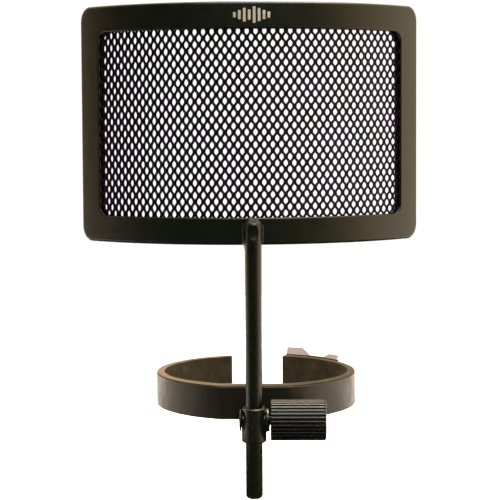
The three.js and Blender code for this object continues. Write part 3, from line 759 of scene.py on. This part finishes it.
def braze_cap():
    """A lump of braze over the rod's upper end, against the frame's face."""
    face_y = SCREEN_FRONT_Y - ROD_AXIS_Y - LUMP_FACE_GAP
    bottom, top = ROD_HIGH[2] - LUMP_OVERLAP, SCREEN_BOTTOM_Z + BORDER_WIDTH - 0.15
    least_width, least_depth = 0.15, 0.25
    ripple, lump = wave(51, 0.9), wave(52, 1.6)
    around = np.linspace(0, math.pi, 48)
    rings = []
    for share in np.linspace(0, 1, 22):
        angle = share * math.pi / 2
        shrink = math.cos(angle) ** 0.8
        rough = 1 + 0.06 * ripple(around * 1.7 + share) + 0.05 * lump(around + 3 * share)
        x = least_width + LUMP_HALF_WIDTH * shrink * np.cos(around) * rough
        y = face_y - (least_depth + LUMP_DEPTH * shrink * np.sin(around) ** 0.7 * rough)
        z = bottom + (top - bottom) * math.sin(angle) * (0.97 + 0.03 * lump(around * 2))
        front = np.column_stack([x, y, z])
        back = np.column_stack([x[::-1], np.full(len(around), face_y), z])
        rings.append(np.concatenate([front, back]))
    mesh = mesh_of("braze_cap", *loft(swivelled(np.array(rings))))
    place("braze_cap", mesh, braze_paint, "screen", sharp=70)


# ---- Collar -------------------------------------------------------------------------------------


def collar_line():
    """The collar's outer plan line and outward normals, from its left rear end to its right."""
    bend = BAND_BEND_RADIUS
    flat = -BAND_FLAT_Y
    bend_x = math.sqrt((BAND_RADIUS - bend) ** 2 - (flat - bend) ** 2)
    turn = math.atan2(bend_x, flat - bend)  # from the front, where the bend meets the round
    points, normals = [], []
    for x in np.arange(0, bend_x, COLLAR_STEP):
        points.append((x, -flat))
        normals.append((0, -1))
    for angle in np.linspace(0, turn, 8):
        normal = np.array((math.sin(angle), -math.cos(angle)))
        points.append(np.array((bend_x, bend - flat)) + bend * normal)
        normals.append(normal)
    sweep = math.pi - COLLAR_GAP_HALF_ANGLE - turn
    for angle in np.linspace(turn, turn + sweep, round(sweep * BAND_RADIUS / COLLAR_STEP))[1:]:
        normal = np.array((math.sin(angle), -math.cos(angle)))
        points.append(BAND_RADIUS * normal)
        normals.append(normal)
    points, normals = np.array(points), np.array(normals)
    mirror = np.array((-1, 1))
    points = np.concatenate([(points * mirror)[:0:-1], points])
    normals = np.concatenate([(normals * mirror)[:0:-1], normals])
    return points, normals


def strip(depths, heights, round_off, waviness=None, lip=None):
    """A strip of the collar between two depths below its outer line, with rounded edges and ends.

    A lip is (depth, height): the strip's upper edge laps outwards to that depth above that height.
    """
    points, normals = collar_line()
    lengths = np.concatenate([[0], np.cumsum(np.linalg.norm(np.diff(points, axis=0), axis=1))])
    total = lengths[-1]
    at_end = np.array([0.0, 0.05, 0.12, 0.22, 0.4])
    between = lengths[(lengths > COLLAR_END_ZONE) & (lengths < total - COLLAR_END_ZONE)]
    where = np.concatenate([at_end, between, (total - at_end)[::-1]])
    rings = []
    for length in where:
        point = np.array([np.interp(length, lengths, points[:, k]) for k in (0, 1)])
        normal = np.array([np.interp(length, lengths, normals[:, k]) for k in (0, 1)])
        normal /= np.linalg.norm(normal)
        from_end = min(length, total - length)
        short_of_full = 1 - min(from_end, round_off) / round_off
        inset = round_off * (1 - math.sqrt(max(0, 1 - short_of_full**2)))
        low_d, high_d = depths[0] + inset, depths[1] - inset
        low_z, high_z = heights[0] + inset, heights[1] - inset
        if waviness:
            high_z += waviness[0](length, point)
            high_d += waviness[1](length, point)
        r = max(round_off - inset, 0.02)
        if lip:
            lip_d, lip_z = lip[0] + inset, lip[1]
            shoulder = low_d + LIP_SHOULDER * (high_d - low_d)
            upper = [
                (shoulder, high_z, 0.5),
                (lip_d, lip_z + LIP_EDGE, 0.12),
                (lip_d, lip_z, 0.08),
                (low_d, lip_z, 0.03),
            ]
        else:
            upper = [(low_d, high_z, r)]
        corners = [(low_d, low_z, r), (high_d, low_z, r), (high_d, high_z, r), *upper]
        section = rounded(corners, closed=True, steps=5)
        plan = point - normal * section[:, :1]
        rings.append(np.column_stack([plan, section[:, 1]]))
    return loft(rings)


def collar():
    """The enamelled band, and the rubber liner that laps over its upper edge."""
    band_depths, band_heights = (0.0, BAND_THICKNESS), (-BAND_HALF_HEIGHT, BAND_HALF_HEIGHT)
    band = mesh_of("collar_band_enamel", *strip(band_depths, band_heights, BAND_EDGE_ROUND))
    place("collar_band_enamel", band, band_paint, "root", "collar_band")
    edge, face = wave(7, 9), wave(8, 14)

    def proud(length, point):
        return LINER_FRONT_RISE * (1 - point[1] / BAND_RADIUS) ** 2 / 4 + 0.04 * edge(length) - 0.04

    def swell(length, point):
        return 0.03 * face(length) - 0.03

    heights = (-BAND_HALF_HEIGHT, LINER_TOP_Z)
    lip = (LINER_LIP_DEPTH, BAND_HALF_HEIGHT + LIP_CLEARANCE)
    shape = strip(LINER_DEPTH, heights, LINER_EDGE_ROUND, (proud, swell), lip)
    liner = mesh_of("collar_liner_rubber", *shape)
    place("collar_liner_rubber", liner, rubber, "root", "collar_liner")


def release_tab():
    """A bracket on the band's right end with two ears turned out of its upper edge."""
    mesh = softened("release_tab", "release_tab_steel", voxel=0.1, smoothing=8)
    place("release_tab_steel", mesh, tab_steel, "root", "release_tab", sharp=60, weighted=False)


def rivets():
    """The two rivets that hold the tab, each with a shank through the band and a low domed head."""
    inside, base = BAND_RADIUS - BAND_THICKNESS, RIVET_SEAT_RADIUS + 0.15
    corners = [
        (0, inside, 0),
        (RIVET_SHANK_RADIUS, inside, 0.05),
        (RIVET_SHANK_RADIUS, base, 0),
        (RIVET_HEAD_RADIUS, base, 0.08),
        (RIVET_HEAD_RADIUS - 0.02, base + 0.4 * RIVET_HEAD_HEIGHT, 0.2),
        (0.9, base + RIVET_HEAD_HEIGHT - 0.1, 0.5),
        (0, base + RIVET_HEAD_HEIGHT, 0),
    ]
    for node, angle in RIVETS.items():
        rings = turned(rounded(corners, steps=6), axis="x", segments=64)
        a = math.radians(90 - angle)
        x, y = rings[..., 0].copy(), rings[..., 1].copy()
        rings[..., 0] = x * math.cos(a) - y * math.sin(a)
        rings[..., 1] = x * math.sin(a) + y * math.cos(a)
        mesh = mesh_of(f"{node}_head", *loft(rings, caps=False))
        place(f"{node}_head", mesh, plated_steel, "root", node, sharp=35)


# ---- Clamp --------------------------------------------------------------------------------------


def clamp_body():
    """The barrel and sleeve in one piece."""
    mesh = softened("clamp_body", "clamp_body_enamel", voxel=0.085, smoothing=7)
    place(
        "clamp_body_enamel", mesh, clamp_paint, "root", "clamp_body", sharp=60, weighted=False
    )


def barrel_plug():
    """A domed plug in the barrel's left end, with a pin that goes into the barrel."""
    low, high = box_mm("barrel_plug")
    length = high[0] - low[0]
    rim = PLUG_RADIUS - 0.02
    corners = [
        (0, 0, 0),
        (PLUG_PIN_RADIUS, 0, 0.15),
        (PLUG_PIN_RADIUS, 0.8, 0),
        (rim - 0.1, 0.9, 0.1),
        (rim, 1.02, 0.12),
        (rim * 0.95, 0.55 * length + 0.45, 0.3),
        (rim * 0.62, length - 0.1, 1.0),
        (0, length - 0.02, 0),
    ]
    rings = turned(rounded(corners, steps=8), axis="x")
    rings[..., 0] = high[0] - rings[..., 0]
    rings[..., 1] += ROD_AXIS_Y
    rings[..., 2] += SCREW_AXIS_Z
    mesh = mesh_of("barrel_plug_enamel", *loft(rings, caps=False))
    place("barrel_plug_enamel", mesh, clamp_paint, "root", "barrel_plug", sharp=35)


def guide_rings():
    """The two nylon rings in the sleeve that the rod slides and turns in."""
    for node in ("guide_ring_upper", "guide_ring_lower"):
        low, high = box_mm(node)
        outer = (high[0] - low[0]) / 2
        inner = outer - GUIDE_RING_WALL
        bottom, top = low[2], high[2]
        corners = [(inner, bottom, 0.1), (outer, bottom, 0.08), (outer, top, 0.12), (inner, top, 0.14)]
        rings = turned(rounded(corners, closed=True, steps=4), segments=96)
        rings[..., 1] += ROD_AXIS_Y
        mesh = mesh_of(f"{node}_nylon", *loft(rings, looped=True))
        place(f"{node}_nylon", mesh, nylon, "guide", node)


def thumbscrew():
    """A threaded shank with a plain round head inside the knob."""
    low, high = box_mm("thumbscrew")
    head_radius = (high[2] - low[2]) / 2
    head = KNOB_LOW[0] + SCREW_HEAD_INSET
    bevel, thread_step, lead_in, segments = 0.15, 0.05, 0.3, 72
    flank_slope, crest_share = 2.3, 0.12
    angle = np.linspace(0, 2 * math.pi, segments, endpoint=False)
    rings = []

    def ring(x, radius):
        across, up = radius * np.cos(angle), radius * np.sin(angle)
        rings.append(np.column_stack([np.full(segments, x), across, up]))

    ring(low[0], 0)
    ring(low[0], SCREW_TIP_RADIUS)
    for x in np.arange(low[0] + thread_step, head, thread_step):
        turn = (x / THREAD_PITCH - angle / (2 * math.pi)) % 1
        tooth = np.clip(np.abs(turn - 0.5) * flank_slope - crest_share, 0, 1)
        start = np.clip((x - low[0]) / lead_in, 0, 1)
        cone = SCREW_TIP_RADIUS + (SCREW_RADIUS - SCREW_TIP_RADIUS) * start
        ring(x, np.minimum(SCREW_RADIUS - THREAD_DEPTH * tooth, cone))
    ring(head, SCREW_RADIUS)
    ring(head, head_radius - bevel)
    ring(head + bevel, head_radius)
    ring(high[0] - bevel, head_radius)
    ring(high[0], head_radius - bevel)
    ring(high[0], 0)
    rings = np.array(rings) + np.array((0, ROD_AXIS_Y, SCREW_AXIS_Z))
    mesh = mesh_of("thumbscrew_thread", *loft(rings, caps=False))
    place("thumbscrew_thread", mesh, plated_steel, "screw", "thumbscrew", sharp=50)


def knob():
    """A moulded knob with rounded ribs that die out in its rounded outer end."""
    radius, length = KNOB_RADIUS - 0.01, KNOB_LENGTH
    hole, hole_depth = 1.7, 1.0
    moat_inner, moat_outer, moat_depth = 3.2, 4.3, 0.14
    dish_radius, dish_depth = 4.0, 0.16
    corners = [
        (hole, hole_depth, 0),
        (hole, 0.0, 0.12),
        (moat_inner - 0.3, 0.0, 0.15),
        (moat_inner, moat_depth, 0.15),
        (moat_outer, moat_depth, 0.15),
        (moat_outer + 0.15, 0.0, 0.1),
        (radius - 0.1, 0.0, 0.1),
        (radius, 0.22, 0.15),
        (radius, length, KNOB_END_ROUND),
        (dish_radius, length, 0.3),
        (dish_radius - 0.3, length - 0.75 * dish_depth, 0.3),
        (0.4, length - dish_depth, 0.3),
        (0, length - dish_depth, 0),
    ]
    profile = divided(rounded(corners, steps=8), 1.5)
    around = KNOB_RIBS * 24
    angle = np.linspace(0, 2 * math.pi, around, endpoint=False)
    from_ridge = ((angle - KNOB_RIB_ANGLE) * KNOB_RIBS / (2 * math.pi) + 0.5) % 1 - 0.5
    from_crest = np.abs(from_ridge)
    crown = CREST_CROWN * (np.minimum(from_crest, CREST_SHARE) / CREST_SHARE) ** 2
    fall = np.clip((from_crest - CREST_SHARE) / FLANK_SHARE, 0, 1)
    flank = fall * fall * (3 - 2 * fall)
    rib = radius - crown - (KNOB_GROOVE_DEPTH - CREST_CROWN) * flank
    rings = []
    for reach, x in profile:
        r = np.minimum(reach, rib)
        rings.append(np.column_stack([np.full(around, x), r * np.cos(angle), r * np.sin(angle)]))
    rings = np.array(rings) + np.array((KNOB_LOW[0], ROD_AXIS_Y, SCREW_AXIS_Z))
    mesh = mesh_of("knob_ribbed", *loft(rings, caps=False))
    place("knob_ribbed", mesh, black_plastic, "screw", "knob", sharp=45)


def plain_metal():
    """The screw and the pad inside the clamp keep their CAD shapes."""
    for node, finish in (("collar_screw", plated_steel), ("pressure_pad", turned_brass)):
        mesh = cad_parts[node].data
        mesh.materials.clear()
        mesh.materials.append(finish)


front_frame()
rear_frame()
expanded_mesh()
level_bars()
rod()
braze(-1, "weld_fillet_left", "braze_left", reach=2.95, seed=21, foot=0.25)
braze(1, "weld_fillet_right", "braze_right", reach=2.85, seed=31, foot=0.45)
braze_cap()
collar()
release_tab()
rivets()
clamp_body()
barrel_plug()
guide_rings()
thumbscrew()
knob()
plain_metal()


# ---- Stage, lights and camera, in metres ---------------------------------------------------------

FLOOR_Z = ROD_LOW[2] * MM - 0.03
FLOOR_FRONT, FLOOR_BACK, FLOOR_HALF_WIDTH = -0.14, 0.7, 0.6
DISH_RADIUS, DISH_WALL_RADIUS, DISH_WALL_TOP_Z = 0.2, 0.09, -0.023

# The room's light, from the dark behind the camera to the warm light behind the object
ROOM_DIRECTION = (0.45, 1.0, 0.12)
ROOM_REACH = 1.1
ROOM_STRENGTH = 1.9
ROOM_TONES = [
    (0.0, (0.028, 0.032, 0.022)),
    (0.18, (0.045, 0.045, 0.033)),
    (0.34, (0.21, 0.145, 0.08)),
    (0.5, (0.88, 0.60, 0.34)),
    (0.66, (1.12, 0.83, 0.52)),
    (0.82, (1.10, 0.86, 0.60)),
]
BACKDROP_STRENGTH = 1.05

CAMERA_PLACE = Vector((0.00711, -0.42610, 0.07505))
CAMERA_YAW, CAMERA_PITCH, CAMERA_ROLL = (math.radians(turn) for turn in (1.15, 3.305, -0.308))
CAMERA_LENS, CAMERA_SENSOR, CAMERA_SHIFT_UP = 108, 36, -0.08


def staged(name, mesh, finish):
    """Puts a piece of the stage in the scene."""
    piece = bpy.data.objects.new(name, mesh)
    bpy.context.scene.collection.objects.link(piece)
    mesh.materials.append(finish.material)
    return piece


def pale_floor():
    """A plain floor, a little uneven in tone."""
    finish = Finish("pale_floor", (0.86, 0.86, 0.85), 0.8, specular=0.1)
    dull, bright = (0.84, 0.84, 0.83), (0.88, 0.88, 0.87)
    finish.colour(finish.colours(finish.noise(120, 2), [(0.3, dull), (0.7, bright)]))
    w = FLOOR_HALF_WIDTH
    corners = [(-w, FLOOR_FRONT), (w, FLOOR_FRONT), (w, FLOOR_BACK), (-w, FLOOR_BACK)]
    mesh = bpy.data.meshes.new("floor")
    mesh.from_pydata([(x, y, FLOOR_Z) for x, y in corners], [], [(0, 1, 2, 3)])
    staged("floor", mesh, finish)


def black_dish():
    """A black cloth dish under the object: it shows only in the object's gloss."""
    line = [
        (DISH_RADIUS, FLOOR_Z + 0.004),
        (0.0, FLOOR_Z + 0.004),
        (DISH_WALL_RADIUS, FLOOR_Z + 0.005),
        (DISH_WALL_RADIUS, DISH_WALL_TOP_Z),
    ]
    mesh = mesh_of("black_dish", *loft(turned(line, segments=48), caps=False), scale=1)
    dish = staged("black_dish", mesh, Finish("black_cloth", (0.004, 0.004, 0.004), 0.9, specular=0.05))
    dish.visible_camera = dish.visible_shadow = dish.visible_diffuse = False


def studio_world():
    """A room that lights the object from behind, with a plain white backdrop."""
    world = bpy.data.worlds.new("studio")
    bpy.context.scene.world = world
    world.use_nodes = True
    nodes, links = world.node_tree.nodes, world.node_tree.links
    direction = nodes.new("ShaderNodeTexCoord").outputs["Generated"]
    along = nodes.new("ShaderNodeVectorMath")
    along.operation = "DOT_PRODUCT"
    along.inputs[1].default_value = ROOM_DIRECTION
    links.new(direction, along.inputs[0])
    place_on_ramp = nodes.new("ShaderNodeMapRange")
    place_on_ramp.inputs["From Min"].default_value = -ROOM_REACH
    place_on_ramp.inputs["From Max"].default_value = ROOM_REACH
    links.new(along.outputs["Value"], place_on_ramp.inputs["Value"])
    ramp = nodes.new("ShaderNodeValToRGB")
    fill_ramp(ramp.color_ramp, ROOM_TONES)
    links.new(place_on_ramp.outputs["Result"], ramp.inputs["Fac"])
    room = nodes["Background"]
    room.inputs["Strength"].default_value = ROOM_STRENGTH
    links.new(ramp.outputs["Color"], room.inputs["Color"])
    backdrop = nodes.new("ShaderNodeBackground")
    backdrop.inputs["Color"].default_value = (1, 1, 1, 1)
    backdrop.inputs["Strength"].default_value = BACKDROP_STRENGTH
    seen = nodes.new("ShaderNodeMixShader")
    links.new(nodes.new("ShaderNodeLightPath").outputs["Is Camera Ray"], seen.inputs["Fac"])
    links.new(room.outputs["Background"], seen.inputs[1])
    links.new(backdrop.outputs["Background"], seen.inputs[2])
    links.new(seen.outputs["Shader"], nodes["World Output"].inputs["Surface"])


def softbox(name, location, target, size, power, colour=(1, 1, 1), gloss=True, diffuse=True):
    """A rectangular lamp at a place, turned to a target; it may light only gloss, or all but gloss."""
    lamp = bpy.data.lights.new(name, "AREA")
    lamp.shape = "RECTANGLE"
    lamp.size, lamp.size_y = size
    lamp.energy = power
    lamp.color = colour
    holder = bpy.data.objects.new(name, lamp)
    holder.location = location
    holder.rotation_mode = "QUATERNION"
    holder.rotation_quaternion = (Vector(target) - Vector(location)).to_track_quat("-Z", "Y")
    holder.visible_glossy, holder.visible_diffuse = gloss, diffuse
    bpy.context.scene.collection.objects.link(holder)


def studio_camera():
    """The camera, a little above the screen's middle and tipped down."""
    data = bpy.data.cameras.new("camera")
    data.sensor_width = CAMERA_SENSOR
    data.lens = CAMERA_LENS
    data.shift_y = CAMERA_SHIFT_UP
    data.clip_start, data.clip_end = 0.01, 50
    camera = bpy.data.objects.new("camera", data)
    level = Vector((math.cos(CAMERA_YAW), math.sin(CAMERA_YAW), 0))
    ahead = Vector((-math.sin(CAMERA_YAW), math.cos(CAMERA_YAW), 0))
    forward = ahead * math.cos(CAMERA_PITCH) - Vector((0, 0, math.sin(CAMERA_PITCH)))
    upward = level.cross(forward)
    right = math.cos(CAMERA_ROLL) * level + math.sin(CAMERA_ROLL) * upward
    up = -math.sin(CAMERA_ROLL) * level + math.cos(CAMERA_ROLL) * upward
    turn = Matrix((right, up, -forward)).transposed()
    camera.matrix_world = Matrix.Translation(CAMERA_PLACE) @ turn.to_4x4()
    bpy.context.scene.collection.objects.link(camera)
    bpy.context.scene.camera = camera


pale_floor()
black_dish()
studio_world()
softbox(
    "top_softbox",
    location=(0.1, 0.05, 0.75),
    target=(0.0, -0.02, 0.02),
    size=(0.5, 0.35),
    power=10.0,
    colour=(1.0, 0.93, 0.84),
)
softbox(
    "front_softbox",
    location=(0.05, -0.42, 0.42),
    target=(0.0, -0.03, 0.03),
    size=(0.45, 0.2),
    power=1.3,
    colour=(1.0, 0.97, 0.9),
    diffuse=False,
)
softbox(
    "floor_wash",
    location=(0.0, 0.6, 0.55),
    target=(0.0, 0.42, -0.05),
    size=(1.0, 0.5),
    power=9.0,
    gloss=False,
)
studio_camera()
bpy.context.scene.view_settings.view_transform = "Standard"
